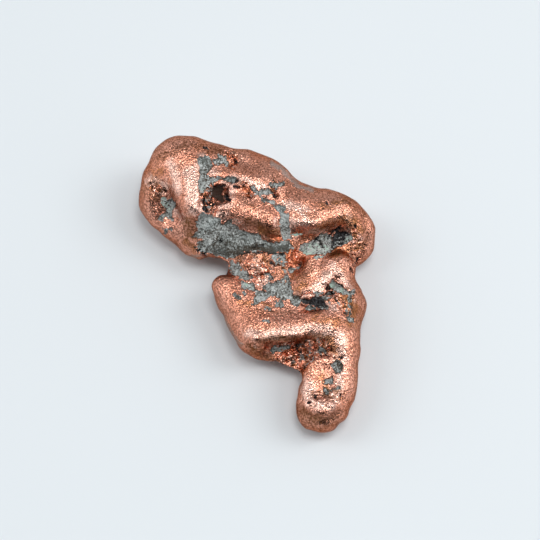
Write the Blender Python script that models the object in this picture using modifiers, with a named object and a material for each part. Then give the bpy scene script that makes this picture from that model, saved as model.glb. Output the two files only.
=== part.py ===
"""Native copper nugget: one water-worn solid of rounded lumps that run into each other, with pits and crystals.

The nugget lies on the XY plane, +Z up: the head is at the upper left, the finger points toward -Y. The tables
below are in millimetres and the mesh is built in metres. A lump is the skin stretched over one, two or three
balls, so it is a ball, a tapered bar or a rounded plate. The skin of the nugget is the zero level of a field
that blends the lumps together and takes the hollows out. The lumps' hulls give the mesh, which is then drawn
onto that level, thinned out and cut flat where it rests.
"""

import bmesh
import bpy
import numpy as np
from mathutils import Vector

MM = 0.001
NODE = "copper_nugget"
COLLECTION = "native_copper_nugget"

# The tables are laid out for a nugget this long, from the head's top to the fingertip.
LAYOUT_LENGTH = 55.5
NUGGET_LENGTH = 55.5

SKIN_STEP = 0.5          # edge of the working mesh
TARGET_TRIANGLES = 9400
PULL_ROUNDS = 14         # how often the working mesh is drawn onto the field
SETTLING_ROUNDS = 3      # the last rounds, which no longer even out the spacing
LONGEST_PULL = 0.6
REST_HEIGHT = 0.0        # everything below this is worn away, which leaves the flats it rests on

# name: (balls as (x, y, z, radius), width of the blend with what comes before)
HEAD = {
    "head_base": ([(-13.2, 21.4, 4.3, 4.7), (-9.4, 15.6, 4.5, 5.0)], 1.0),
    "head_body": ([(-14.7, 22.0, 8.2, 5.9), (-9.9, 16.5, 8.0, 5.9)], 1.5),
    "head_crest": ([(-14.3, 22.6, 10.6, 4.8), (-11.3, 15.2, 11.6, 3.5)], 1.2),
    "head_flank": ([(-16.8, 20.3, 7.4, 4.4), (-17.1, 18.5, 7.0, 4.5), (-14.3, 14.9, 5.4, 4.2)], 1.2),
    "heel": ([(-14.3, 14.9, 5.4, 4.1), (-9.0, 11.3, 4.9, 4.6)], 1.4),
    "head_bridge": ([(-11.9, 23.5, 9.6, 5.0), (-8.1, 23.3, 8.8, 4.2)], 1.2),
}
UPPER_MASS = {
    "back_ridge": ([(-6.4, 22.5, 8.6, 4.5), (-2.4, 22.8, 8.4, 4.2), (2.0, 20.9, 7.8, 4.2)], 1.2),
    "ridge_edge": ([(-3.4, 18.8, 11.2, 2.6), (-0.9, 18.0, 11.2, 2.6), (1.7, 16.7, 10.6, 2.8)], 1.2),
    "shoulder": ([(2.0, 19.6, 7.8, 4.1), (6.4, 17.0, 7.2, 3.9)], 1.4),
    "upper_core": ([(-5.9, 14.9, 6.4, 5.6), (6.1, 15.1, 6.0, 5.2)], 1.4),
    "plateau": ([(-5.6, 17.4, 9.2, 2.8), (0.9, 15.8, 9.0, 2.8), (-3.0, 13.2, 9.4, 2.8)], 1.0),
    "rolled_ridge": ([(-5.6, 14.1, 10.8, 2.6), (-1.2, 12.8, 10.6, 3.0), (1.9, 11.8, 9.8, 3.5)], 0.7),
    "front_ledge": ([(-9.0, 10.9, 4.9, 4.4), (4.2, 10.1, 4.9, 4.4)], 1.0),
}
RIGHT_LOBE = {
    "lobe_base": ([(13.5, 15.4, 4.1, 4.4), (16.1, 14.1, 4.2, 4.4)], 1.2),
    "lobe_back": ([(7.9, 15.9, 7.6, 3.8), (11.9, 15.4, 7.8, 3.5), (15.4, 14.3, 7.6, 3.4)], 1.2),
    "lobe_edge": ([(7.1, 12.3, 9.6, 3.1), (11.8, 12.4, 9.8, 2.9), (15.5, 14.0, 9.4, 2.8)], 1.0),
    "lobe_end": ([(15.7, 13.6, 7.4, 3.5), (17.7, 11.3, 6.6, 3.6), (17.8, 9.4, 5.0, 3.4)], 1.0),
}
WAIST = {
    "saddle": ([(5.1, 7.4, 5.0, 4.4), (13.4, 7.5, 4.8, 4.0)], 1.4),
    "neck": ([(-2.7, 4.9, 4.8, 3.2), (5.1, 3.4, 5.0, 4.2)], 1.2),
    "knuckle": ([(0.2, 4.2, 6.8, 3.3)], 1.0),
    "nose": ([(8.1, -0.6, 8.8, 2.0), (9.9, 2.9, 9.4, 2.6), (14.6, 3.2, 8.6, 2.8)], 0.5),
    "nose_arm": ([(14.3, 3.6, 7.8, 2.7), (15.7, -0.1, 7.2, 2.3)], 0.6),
    "spine": ([(13.8, 3.9, 5.2, 3.2), (15.4, -1.3, 5.4, 3.2)], 1.2),
    "side_bulge": ([(15.9, -2.4, 5.8, 3.1)], 0.8),
}
PALM = {
    "palm_tip": ([(-4.8, -0.5, 6.4, 3.0), (-2.8, -3.9, 6.2, 3.1)], 1.0),
    "palm_back": ([(-3.7, -1.0, 4.8, 3.1), (7.8, -1.6, 4.4, 3.3), (15.2, -1.9, 4.6, 3.3)], 1.4),
    "palm_left": ([(-3.4, -2.4, 5.4, 3.0), (-0.4, -8.8, 6.8, 2.9), (7.8, -2.2, 4.8, 3.2)], 1.2),
    "palm_right": ([(-0.4, -8.8, 6.8, 2.9), (13.0, -8.1, 8.2, 2.9), (7.8, -2.2, 4.8, 3.2)], 1.2),
    "palm_fill": ([(13.0, -8.0, 8.0, 3.0), (15.0, -3.1, 6.0, 3.3), (7.8, -2.2, 4.8, 3.3)], 1.2),
    "belly": ([(-1.0, -4.5, 4.8, 3.0), (13.5, -4.8, 4.8, 3.0), (6.0, 5.0, 5.6, 3.4)], 1.2),
    "palm_under": ([(-0.5, -8.4, 4.4, 3.3), (12.8, -8.6, 4.4, 3.4)], 1.0),
    "rough_ledge": ([(1.5, -10.0, 3.6, 2.7), (7.6, -12.5, 3.0, 2.6)], 0.6),
}
FINGER = {
    "wrist": ([(14.7, -4.0, 7.2, 3.4), (14.8, -11.6, 6.2, 3.8)], 1.2),
    "finger_core": ([(12.9, -13.3, 4.4, 4.7), (11.9, -21.7, 4.6, 4.9)], 0.8),
    "finger_left": ([(10.9, -15.0, 7.0, 2.6), (9.9, -21.2, 6.0, 2.8)], 0.6),
    "finger_right": ([(15.1, -12.3, 7.0, 3.0), (14.5, -19.5, 6.0, 3.0)], 0.6),
}
LUMPS = {**HEAD, **UPPER_MASS, **RIGHT_LOBE, **WAIST, **PALM, **FINGER}

# name: (balls as (x, y, z, radius), rounding of its rim)
HOLLOWS = {
    "deep_pit": ([(-7.2, 16.0, 13.2, 1.5), (-6.3, 15.4, 12.8, 1.7)], 0.6),
    "crystal_gap": ([(-9.3, 13.8, 13.2, 1.2), (-8.7, 12.5, 12.6, 1.3)], 0.6),
    "dimple": ([(-17.5, 14.6, 12.0, 2.2), (-16.4, 13.0, 10.6, 2.4)], 1.2),
    "lobe_hollow": ([(8.9, 6.9, 10.2, 1.5), (12.5, 7.6, 10.5, 2.0), (15.2, 9.2, 10.7, 1.6)], 0.8),
    "dark_slit": ([(13.1, 8.8, 8.8, 0.9), (16.0, 9.8, 8.8, 1.0)], 0.5),
    "nose_gap": ([(8.5, -2.7, 8.2, 1.0), (12.0, -2.9, 8.2, 1.0)], 0.4),
    "arm_hollow": ([(13.3, -1.7, 9.6, 1.3), (14.5, -2.0, 9.4, 1.3)], 0.5),
    "front_recess": ([(2.4, -11.3, 6.4, 1.5), (7.7, -12.2, 6.2, 2.2), (11.7, -10.6, 6.0, 2.3)], 0.7),
    "finger_groove": ([(13.4, -14.8, 11.2, 1.8), (12.7, -17.4, 10.5, 1.5), (11.9, -20.0, 10.4, 1.8)], 1.0),
}

# name: (one end of the bed, the other end, number of crystals, how far they stray from that line)
CRYSTAL_BEDS = {
    "recess": ((2.8, -11.1, 5.2), (11.0, -10.9, 4.4), 10, 1.6),
    "ledge": ((3.5, -12.9, 4.6), (7.4, -13.6, 3.4), 5, 0.8),
    "neck": ((-3.7, 5.0, 7.2), (-0.8, 0.9, 7.6), 8, 1.2),
    "knuckle": ((-1.2, 4.1, 9.2), (2.0, 1.9, 9.0), 6, 1.4),
    "pit": ((-9.7, 14.8, 13.2), (-8.8, 12.6, 12.4), 5, 0.6),
}
CRYSTAL_RADII = (0.55, 0.95)
CRYSTAL_BLEND = 0.15
CRYSTAL_SEED = 7

# Shallow swellings and dents all over the skin, as waves that cross each other at random.
DENT_DEPTH = 0.035
DENT_WIDTHS = (4.0, 9.0)
DENT_WAVES = 9
DENT_SEED = 3

COPPER_COLOUR = (0.55, 0.24, 0.15, 1.0)
COPPER_ROUGHNESS = 0.35


def crystals():
    """Small lumps strewn along each bed, as one list of single balls."""
    chance = np.random.default_rng(CRYSTAL_SEED)
    balls = []
    for one_end, other_end, count, stray in CRYSTAL_BEDS.values():
        for share in np.linspace(0.0, 1.0, count):
            place = np.array(one_end) * (1 - share) + np.array(other_end) * share
            place += chance.uniform(-stray, stray, 3) * (1, 1, 0.25)
            balls.append([(*place, chance.uniform(*CRYSTAL_RADII))])
    return balls


def dent_waves():
    """Each wave's direction with its steepness, and where it starts."""
    chance = np.random.default_rng(DENT_SEED)
    ways = chance.normal(size=(DENT_WAVES, 3))
    ways /= np.linalg.norm(ways, axis=1)[:, None]
    widths = chance.uniform(*DENT_WIDTHS, DENT_WAVES)
    return ways * (2 * np.pi / widths)[:, None], chance.uniform(0, 2 * np.pi, DENT_WAVES)


CRYSTALS = crystals()
WAVES, WAVE_STARTS = dent_waves()


def bar_distance(points, one, other):
    """Distance from each point to the skin of the tapered bar between two balls."""
    a, b = np.array(one), np.array(other)
    along = b[:3] - a[:3]
    share = np.clip((points - a[:3]) @ along / max(along @ along, 1e-9), 0.0, 1.0)
    centre = a[:3] + share[:, None] * along
    return np.linalg.norm(points - centre, axis=1) - (a[3] + share * (b[3] - a[3]))


def plate_distance(points, balls):
    """Distance from each point to the skin of the rounded plate between three balls."""
    a, b, c = (np.array(ball) for ball in balls)
    edges = [bar_distance(points, a, b), bar_distance(points, b, c), bar_distance(points, c, a)]
    distance = np.min(edges, axis=0)
    sides = np.stack([b[:3] - a[:3], c[:3] - a[:3]], axis=1)
    normal = np.cross(sides[:, 0], sides[:, 1])
    normal /= np.linalg.norm(normal)
    from_a = points - a[:3]
    s, t = np.linalg.pinv(sides) @ from_a.T
    radius = a[3] + s * (b[3] - a[3]) + t * (c[3] - a[3])
    over_the_plate = (s > 0) & (t > 0) & (s + t < 1)
    return np.where(over_the_plate, np.minimum(distance, np.abs(from_a @ normal) - radius), distance)


def lump_distance(points, balls):
    if len(balls) == 3:
        return plate_distance(points, balls)
    return bar_distance(points, balls[0], balls[-1])


def blended_min(a, b, width):
    """The lesser of two distances, rounded off over this width."""
    overlap = np.maximum(width * 2 - np.abs(a - b), 0.0) / (width * 2)
    return np.minimum(a, b) - overlap * overlap * width / 2


def field(points):
    """Distance from the nugget's skin, negative inside."""
    distance = np.full(len(points), 1e3)
    for balls, blend in LUMPS.values():
        distance = blended_min(distance, lump_distance(points, balls), blend)
    for balls, rounding in HOLLOWS.values():
        distance = -blended_min(-distance, lump_distance(points, balls), rounding)
    for ball in CRYSTALS:
        distance = blended_min(distance, lump_distance(points, ball), CRYSTAL_BLEND)
    return distance + DENT_DEPTH * np.sin(points @ WAVES.T + WAVE_STARTS).sum(axis=1)


def field_slope(points, step=0.02):
    slope = np.empty_like(points)
    for axis in range(3):
        offset = np.zeros(3)
        offset[axis] = step
        slope[:, axis] = (field(points + offset) - field(points - offset)) / (2 * step)
    return slope


def clear_scene():
    for obj in list(bpy.data.objects):
        bpy.data.objects.remove(obj)


def add_hull(target, balls):
    """Adds the convex hull of these balls to a bmesh."""
    lump = bmesh.new()
    for *place, radius in balls:
        ball = bmesh.ops.create_icosphere(lump, subdivisions=3, radius=radius * MM)
        bmesh.ops.translate(lump, verts=ball["verts"], vec=Vector(place) * MM)
    hull = bmesh.ops.convex_hull(lump, input=lump.verts)
    inside = [v for v in hull["geom_interior"] if isinstance(v, bmesh.types.BMVert)]
    bmesh.ops.delete(lump, geom=inside, context="VERTS")
    bmesh.ops.delete(lump, geom=[v for v in lump.verts if not v.link_faces], context="VERTS")
    mesh = bpy.data.meshes.new("lump")
    lump.to_mesh(mesh)
    lump.free()
    target.from_mesh(mesh)
    bpy.data.meshes.remove(mesh)


def apply_modifiers(obj):
    bpy.context.view_layer.update()
    evaluated = obj.evaluated_get(bpy.context.evaluated_depsgraph_get())
    mesh = bpy.data.meshes.new_from_object(evaluated)
    obj.modifiers.clear()
    old = obj.data
    obj.data = mesh
    bpy.data.meshes.remove(old)
    mesh.name = obj.name


def joined_lumps(collection):
    """One object with the hulls of all lumps and crystals, made one skin by a voxel remesh."""
    together = bmesh.new()
    for balls in [balls for balls, _ in LUMPS.values()] + CRYSTALS:
        add_hull(together, balls)
    mesh = bpy.data.meshes.new(NODE)
    together.to_mesh(mesh)
    together.free()
    nugget = bpy.data.objects.new(NODE, mesh)
    collection.objects.link(nugget)
    one_skin = nugget.modifiers.new("one_skin", "REMESH")
    one_skin.mode = "VOXEL"
    one_skin.voxel_size = SKIN_STEP * MM
    apply_modifiers(nugget)
    return nugget


def mean_of_neighbours(points, edges):
    total = np.zeros_like(points)
    count = np.zeros(len(points))
    for one, other in ((0, 1), (1, 0)):
        np.add.at(total, edges[:, one], points[edges[:, other]])
        np.add.at(count, edges[:, one], 1)
    return total / count[:, None]


def draw_onto_field(obj):
    """Moves every vertex onto the zero level, and evens out their spacing along the skin as it goes."""
    mesh = obj.data
    points = np.empty(len(mesh.vertices) * 3)
    mesh.vertices.foreach_get("co", points)
    points = points.reshape(-1, 3) / MM
    edges = np.empty(len(mesh.edges) * 2, np.int32)
    mesh.edges.foreach_get("vertices", edges)
    edges = edges.reshape(-1, 2)
    for done in range(PULL_ROUNDS):
        slope = field_slope(points)
        steepness = np.maximum(np.linalg.norm(slope, axis=1), 0.3)
        normal = slope / steepness[:, None]
        pull = np.clip(field(points) / steepness, -LONGEST_PULL, LONGEST_PULL)
        move = -normal * pull[:, None]
        if done < PULL_ROUNDS - SETTLING_ROUNDS:
            even = mean_of_neighbours(points, edges) - points
            move += 0.5 * (even - normal * np.sum(even * normal, axis=1)[:, None])
        points = points + move
    mesh.vertices.foreach_set("co", (points * MM).ravel())
    mesh.update()


def thin_out(obj):
    triangles = sum(len(face.vertices) - 2 for face in obj.data.polygons)
    fewer_faces = obj.modifiers.new("fewer_faces", "DECIMATE")
    fewer_faces.ratio = TARGET_TRIANGLES / triangles
    fewer_faces.use_collapse_triangulate = True
    apply_modifiers(obj)


def wear_flats(obj):
    """Cuts the lowest lumps flat, and puts the origin under the middle of the nugget's box."""
    skin = bmesh.new()
    skin.from_mesh(obj.data)
    everything = skin.verts[:] + skin.edges[:] + skin.faces[:]
    cut = bmesh.ops.bisect_plane(
        skin, geom=everything, plane_co=(0, 0, REST_HEIGHT * MM), plane_no=(0, 0, -1), clear_outer=True, dist=1e-7
    )
    rims = [e for e in cut["geom_cut"] if isinstance(e, bmesh.types.BMEdge)]
    bmesh.ops.holes_fill(skin, edges=rims, sides=0)
    bmesh.ops.triangulate(skin, faces=skin.faces[:])
    corners = np.array([v.co for v in skin.verts])
    middle = (corners.min(axis=0) + corners.max(axis=0)) / 2
    bmesh.ops.translate(skin, verts=skin.verts, vec=(-middle[0], -middle[1], -REST_HEIGHT * MM))
    scale = NUGGET_LENGTH / LAYOUT_LENGTH
    bmesh.ops.scale(skin, verts=skin.verts, vec=(scale, scale, scale))
    bmesh.ops.recalc_face_normals(skin, faces=skin.faces)
    skin.to_mesh(obj.data)
    skin.free()


def copper():
    material = bpy.data.materials.new("native_copper")
    material.use_nodes = True
    shader = material.node_tree.nodes["Principled BSDF"]
    shader.inputs["Base Color"].default_value = COPPER_COLOUR
    shader.inputs["Metallic"].default_value = 1.0
    shader.inputs["Roughness"].default_value = COPPER_ROUGHNESS
    return material


def main():
    clear_scene()
    collection = bpy.data.collections.new(COLLECTION)
    bpy.context.scene.collection.children.link(collection)
    nugget = joined_lumps(collection)
    draw_onto_field(nugget)
    thin_out(nugget)
    wear_flats(nugget)
    nugget.data.materials.clear()
    nugget.data.materials.append(copper())
    nugget.data.shade_smooth()


main()
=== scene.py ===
import bmesh
import bpy
import math
import numpy as np
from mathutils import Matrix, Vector, noise
from mathutils.bvhtree import BVHTree


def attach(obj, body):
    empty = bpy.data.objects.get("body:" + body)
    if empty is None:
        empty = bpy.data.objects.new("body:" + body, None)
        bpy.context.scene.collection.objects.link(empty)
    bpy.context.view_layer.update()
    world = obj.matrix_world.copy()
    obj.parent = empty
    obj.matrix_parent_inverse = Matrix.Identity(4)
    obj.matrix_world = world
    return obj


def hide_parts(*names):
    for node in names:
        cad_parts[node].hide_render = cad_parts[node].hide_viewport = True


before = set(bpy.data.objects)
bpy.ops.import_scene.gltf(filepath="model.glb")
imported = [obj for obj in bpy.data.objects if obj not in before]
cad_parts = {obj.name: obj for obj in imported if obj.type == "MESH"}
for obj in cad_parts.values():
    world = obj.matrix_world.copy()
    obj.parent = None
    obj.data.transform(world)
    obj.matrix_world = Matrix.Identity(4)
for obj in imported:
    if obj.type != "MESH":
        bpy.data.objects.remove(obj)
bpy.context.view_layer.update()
mm = 0.001

# Camera. Marks on the nugget are placed by pixel (across, down) in this view, and sit on the skin there.

view = {
    "imageSize": 540,
    "mmPerPixel": 0.18,           # at the point looked at
    "lookAt": (2.56, 2.07, 8.0),  # mm
    "distance": 320.0,
    "elevation": 66.0,            # degrees above the floor
    "sensor": 36.0,
}


def viewAxes():
    tilt = math.radians(view["elevation"])
    back = np.array((0.0, -math.cos(tilt), math.sin(tilt)))
    up = np.array((0.0, math.sin(tilt), math.cos(tilt)))
    return np.array((1.0, 0.0, 0.0)), up, back


def viewPoint():
    return np.array(view["lookAt"]) + viewAxes()[2] * view["distance"]


def toPixels(points):
    right, up, back = viewAxes()
    offset = points - viewPoint()
    depth = -offset @ back
    scale = view["distance"] / view["mmPerPixel"] / depth
    middle = view["imageSize"] / 2
    return np.stack([middle + offset @ right * scale, middle - offset @ up * scale], axis=1)


def makeCamera():
    data = bpy.data.cameras.new("camera")
    data.sensor_width = view["sensor"]
    data.lens = view["sensor"] * view["distance"] / (view["imageSize"] * view["mmPerPixel"])
    data.clip_start, data.clip_end = 0.01, 20.0
    camera = bpy.data.objects.new("camera", data)
    camera.location = viewPoint() * mm
    camera.rotation_mode = "QUATERNION"
    camera.rotation_quaternion = Vector(-viewAxes()[2]).to_track_quat("-Z", "Y")
    bpy.context.scene.collection.objects.link(camera)
    bpy.context.scene.camera = camera


makeCamera()
print("camera placed")

# The skin: the solid's mesh with finer, smoother faces, kept as arrays in millimetres while it is carved.

skinDetail = {
    "faceSize": 0.295,     # mm
    "smoothingRounds": 16,
    "smoothing": 0.5,
    "regrowth": 1.03,      # how much of each round's shrinking is grown back
    "normalRounds": 8,     # how far the way to carve in is evened out
    "formRounds": 8,       # how far the broad forms are evened out
    "hollowRounds": 40,
}


class Skin:
    def __init__(self, source):
        mesh = source.data.copy()
        welded = bmesh.new()
        welded.from_mesh(mesh)
        bmesh.ops.remove_doubles(welded, verts=welded.verts, dist=1e-7)
        welded.to_mesh(mesh)
        welded.free()
        mesh.materials.clear()
        self.piece = bpy.data.objects.new("nugget_skin", mesh)
        bpy.context.scene.collection.objects.link(self.piece)
        finer = self.piece.modifiers.new("finer", "REMESH")
        finer.mode = "VOXEL"
        finer.voxel_size = skinDetail["faceSize"] * mm
        bpy.context.view_layer.update()
        evaluated = self.piece.evaluated_get(bpy.context.evaluated_depsgraph_get())
        self.mesh = bpy.data.meshes.new_from_object(evaluated)
        self.mesh.name = "nugget_skin"
        self.piece.modifiers.clear()
        self.piece.data = self.mesh
        bpy.data.meshes.remove(mesh)
        self.readShape()

    def readShape(self):
        self.points = self.read("vertices", "co", 3, np.float64) / mm
        edges = self.read("edges", "vertices", 2, np.int32)
        self.ends = np.concatenate([edges, edges[:, ::-1]])
        self.valence = np.bincount(self.ends[:, 0], minlength=len(self.points)).astype(float)

    def read(self, layer, name, width, kind):
        items = getattr(self.mesh, layer)
        values = np.empty(len(items) * width, kind)
        items.foreach_get(name, values)
        return values.reshape(-1, width)

    def around(self, values):
        # the mean of each point's neighbours
        columns = values.reshape(len(values), -1)
        start, end = self.ends.T
        sums = [np.bincount(start, column[end], len(values)) for column in columns.T]
        return (np.stack(sums, axis=1) / self.valence[:, None]).reshape(values.shape)

    def spread(self, values, rounds):
        for _ in range(rounds):
            values = 0.5 * (values + self.around(values))
        return values

    def smooth(self, rounds, amount):
        # every second round grows back what the one before shrank
        for _ in range(rounds):
            self.points += amount * (self.around(self.points) - self.points)
            self.points -= amount * skinDetail["regrowth"] * (self.around(self.points) - self.points)

    def refine(self, chosen):
        # halves the faces between chosen points
        self.store()
        finer = bmesh.new()
        finer.from_mesh(self.mesh)
        edges = [e for e in finer.edges if chosen[e.verts[0].index] and chosen[e.verts[1].index]]
        bmesh.ops.subdivide_edges(finer, edges=edges, cuts=1, use_grid_fill=True)
        finer.to_mesh(self.mesh)
        finer.free()
        self.readShape()

    def store(self):
        self.mesh.vertices.foreach_set("co", (self.points * mm).ravel())
        self.mesh.update()

    def normals(self):
        self.store()
        return self.read("vertices", "normal", 3, np.float64)

    def move(self, direction, amount):
        self.points += direction * amount[:, None]


skin = Skin(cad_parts["copper_nugget"])
skin.smooth(skinDetail["smoothingRounds"], skinDetail["smoothing"])
print("skin made,", len(skin.points), "points")


sight = {"facing": 0.03, "clearance": 0.12}    # the least turn toward the camera, and mm off the skin


def seenPoints():
    # the points that the camera sees: those that face it with nothing in between
    normals = skin.normals()
    faces = [face.vertices[:] for face in skin.mesh.polygons]
    tree = BVHTree.FromPolygons([Vector(point) for point in skin.points], faces)
    toEye = viewPoint() - skin.points
    toEye /= np.linalg.norm(toEye, axis=1)[:, None]
    facing = np.sum(toEye * normals, axis=1) > sight["facing"]
    seen = np.zeros(len(facing), bool)
    for i in np.flatnonzero(facing):
        start = Vector(skin.points[i] + normals[i] * sight["clearance"])
        seen[i] = tree.ray_cast(start, Vector(toEye[i]))[0] is None
    return seen


def noiseAt(points, size, detail=1, seed=0.0):
    # smooth noise from -1 to 1 with swells of this size in mm
    shift = Vector((seed * 17.3, seed * 5.1, seed * 9.7))
    total = np.zeros(len(points))
    for octave in range(detail):
        step = 2.0 ** octave / size
        total += np.array([noise.noise(Vector(p) * step + shift) for p in points]) / 2.0 ** octave
    return total


def facetsAt(points, size, seed=0.0):
    # flat facets at random tilts, like a crust of small crystals
    shift = Vector((seed * 3.7, seed * 11.9, seed * 7.3))
    heights = np.empty(len(points))
    for i, p in enumerate(points):
        place = Vector(p) / size + shift
        nearest = noise.voronoi(place)[1][0]
        tilt = noise.cell_vector(nearest * 13.7) - Vector((0.5, 0.5, 0.5))
        heights[i] = (place - nearest).dot(tilt) * 2.0 + tilt.x
    return heights


def rise(values, low, high):
    t = np.clip((values - low) / (high - low), 0.0, 1.0)
    return t * t * (3 - 2 * t)


class Eye:
    # what the camera sees of the skin as it lies now, and the way in which marks are carved
    def look(self):
        self.normals = skin.spread(skin.normals(), skinDetail["normalRounds"])
        self.normals /= np.linalg.norm(self.normals, axis=1)[:, None]
        self.seen = seenPoints()
        self.pixels = toPixels(skin.points)


eye = Eye()
eye.look()
print("points seen:", int(eye.seen.sum()))


def toSegment(spots, a, b):
    a, b = np.array(a, float), np.array(b, float)
    along = b - a
    share = np.clip((spots - a) @ along / max(along @ along, 1e-9), 0.0, 1.0)
    return np.linalg.norm(spots - a - share[:, None] * along, axis=1)


def insideOutline(spots, outline):
    # how far inside a closed outline each spot is, in mm, negative outside
    distance = np.full(len(spots), 1e3)
    inside = np.zeros(len(spots), bool)
    for a, b in zip(outline, outline[1:] + outline[:1]):
        distance = np.minimum(distance, toSegment(spots, a, b))
        crosses = (a[1] > spots[:, 1]) != (b[1] > spots[:, 1])
        where = a[0] + (spots[:, 1] - a[1]) * (b[0] - a[0]) / ((b[1] - a[1]) or 1e-9)
        inside ^= crosses & (spots[:, 0] < where)
    return np.where(inside, distance, -distance) * view["mmPerPixel"]


def alongPath(spots, path, width):
    # the same for a stroke of this width in pixels
    distance = np.full(len(spots), 1e3)
    for a, b in zip(path, path[1:] or path):
        distance = np.minimum(distance, toSegment(spots, a, b))
    return (width / 2 - distance) * view["mmPerPixel"]


carry = {
    "outside": -5.0,    # mm, the depth of skin that no mark is near
    "reach": 28,        # pixels around a mark in which its depth is measured
    "rounds": 7,        # how far a mark goes on over the edge of the seen skin
    "loss": 0.04,       # mm that it narrows with each round
}


def painted(marks):
    # the greatest depth inside any of these marks, and that mark's tone
    depth = np.full(len(skin.points), carry["outside"])
    tone = np.zeros(len(skin.points))
    spots = eye.pixels[eye.seen]
    unseen = ~eye.seen
    for mark in marks:
        corners = np.array(mark.get("outline") or mark["path"])
        reach = mark.get("width", 0) / 2 + carry["reach"]
        near = np.all((spots > corners.min(axis=0) - reach) & (spots < corners.max(axis=0) + reach), axis=1)
        if "outline" in mark:
            found = insideOutline(spots[near], mark["outline"])
        else:
            found = alongPath(spots[near], mark["path"], mark["width"])
        index = np.flatnonzero(eye.seen)[near]
        deeper = found > depth[index]
        depth[index[deeper]] = found[deeper]
        tone[index[deeper | (found > 0)]] = mark.get("tone", 0.0)
    for _ in range(carry["rounds"]):
        depth[unseen] = np.maximum(depth, skin.around(depth) - carry["loss"])[unseen]
        tone[unseen] = skin.around(tone)[unseen]
    return depth, tone


# How marks are written: a patch has an outline and a stroke has a path, both in pixels.
# A swell is a rounded band that stands out by its height in mm, or is pressed in where that is negative.

def patch(*outline, tone=0.0):
    return {"outline": outline, "tone": tone}


def stroke(width, *path, tone=0.0):
    return {"path": path, "width": width, "tone": tone}


def swell(width, height, *path):
    return {"path": path, "width": width, "height": height}


# Broad forms that the solid leaves out.

forms = [
    # head: steeper below its crest
    swell(14, 0.45, (190, 206), (201, 213)), swell(24, -0.5, (186, 238), (197, 240)),
    swell(16, -0.3, (200, 148), (218, 152)), swell(14, 0.85, (151, 199), (154, 211)),
    # column between the lobes
    swell(14, -0.45, (281, 214), (284, 238)),
    # ridge above the sausage
    swell(15, 0.4, (238, 171), (262, 179)),
    # pit: steep walls
    swell(9, 0.75, (232, 187), (231, 199)), swell(8, 0.4, (207, 190), (208, 199)),
    # island above the pit: leans back
    swell(7, -0.45, (213, 162), (227, 163)), swell(6, 0.45, (213, 174), (228, 174)),
    # sausage: hollow below it
    swell(12, -0.45, (246, 228), (264, 232)),
    # right lobe: its crest sags to the left
    swell(15, 0.4, (288, 198), (305, 200)), swell(13, 0.5, (299, 223), (316, 224)),
    swell(5, -0.45, (363, 212), (367, 226), (367, 240), (361, 254)),
    # nose: low at the back, with a full lip toward the viewer
    swell(24, -1.0, (302, 262), (322, 260)), swell(13, 0.7, (303, 290), (316, 287), (326, 279)),
    swell(10, 1.5, (304, 301), (314, 298), (322, 294)), swell(8, -0.9, (304, 307), (314, 307), (322, 305)),
    swell(14, 0.5, (340, 274), (350, 290)), swell(14, 0.7, (328, 288), (337, 293)),
    # palm
    swell(10, 0.5, (254, 337), (276, 337), (302, 334)), swell(14, 0.5, (262, 347), (258, 340)),
    # finger: a full knuckle, and a turn above its lower rim
    swell(11, 0.55, (305, 374), (311, 364), (322, 360), (331, 361)),
    swell(7, -0.5, (302, 366), (308, 357), (319, 352), (332, 353)), swell(12, 0.25, (322, 374), (325, 400)),
    swell(8, 0.3, (306, 404), (314, 411), (326, 412), (337, 405)),
    swell(8, -0.48, (302, 413), (311, 419), (328, 420), (340, 412)),
]


# Where the outline stands in or out of the solid's, clockwise from the head's left end.

outlineForms = [
    swell(22, -0.38, (141, 180), (146, 164)), swell(20, 0.32, (161, 144), (175, 139)),
    swell(18, 0.14, (206, 143), (212, 144)), swell(18, -0.2, (234, 149), (250, 152)),
    swell(20, -0.36, (283, 166), (293, 176), (300, 182)), swell(14, 0.22, (326, 188), (334, 190)),
    swell(20, -0.25, (352, 199), (362, 206)), swell(18, 0.22, (374, 230), (372, 246)),
    swell(14, 0.32, (359, 260), (354, 270)), swell(18, -0.42, (356, 278), (363, 292)),
    swell(16, 0.25, (365, 306), (361, 320)), swell(14, -0.14, (360, 346), (359, 360)),
    swell(14, 0.17, (356, 374), (355, 386)), swell(18, -0.58, (350, 411), (347, 418), (342, 424)),
    swell(16, -0.46, (315, 434), (332, 433), (340, 428)), swell(14, 0.22, (304, 426), (298, 415)),
    swell(12, -0.32, (299, 378), (296, 396)), swell(18, -1.35, (291, 374), (284, 372), (277, 369)),
    swell(12, -0.25, (272, 366), (264, 363)), swell(20, -0.32, (246, 353), (236, 342)),
    swell(14, 0.23, (231, 332), (227, 324)), swell(20, -0.46, (221, 314), (213, 295)),
    swell(14, 0.5, (213, 285), (222, 275)), swell(16, -1.3, (228, 268), (219, 266), (209, 264)),
    swell(12, -0.55, (204, 260), (194, 258)), swell(14, 0.1, (190, 255), (180, 250)),
    swell(14, -0.34, (172, 245), (166, 240), (158, 234)), swell(20, 0.48, (148, 222), (142, 211)),
]


def bandHeight(form, depth):
    half = form["width"] / 2 * view["mmPerPixel"]
    return skin.spread(form["height"] * rise(depth, -0.5 * half, half), skinDetail["formRounds"])


def shapeOutline():
    # both sides of the outline move, and only sideways as the camera sees it
    back = viewAxes()[2]
    sideways = eye.normals - (eye.normals @ back)[:, None] * back
    sideways *= np.linalg.norm(sideways, axis=1)[:, None]
    for form in outlineForms:
        skin.move(sideways, bandHeight(form, alongPath(eye.pixels, form["path"], form["width"])))


def shapeForms():
    for form in forms:
        skin.move(eye.normals, bandHeight(form, painted([form])[0]))


shapeOutline()
shapeForms()
eye.look()
print("broad forms shaped")

# Marks on the skin, by the finish that they have; some kinds also carry painted highlight, shade, shadow and
# reflection.

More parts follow.
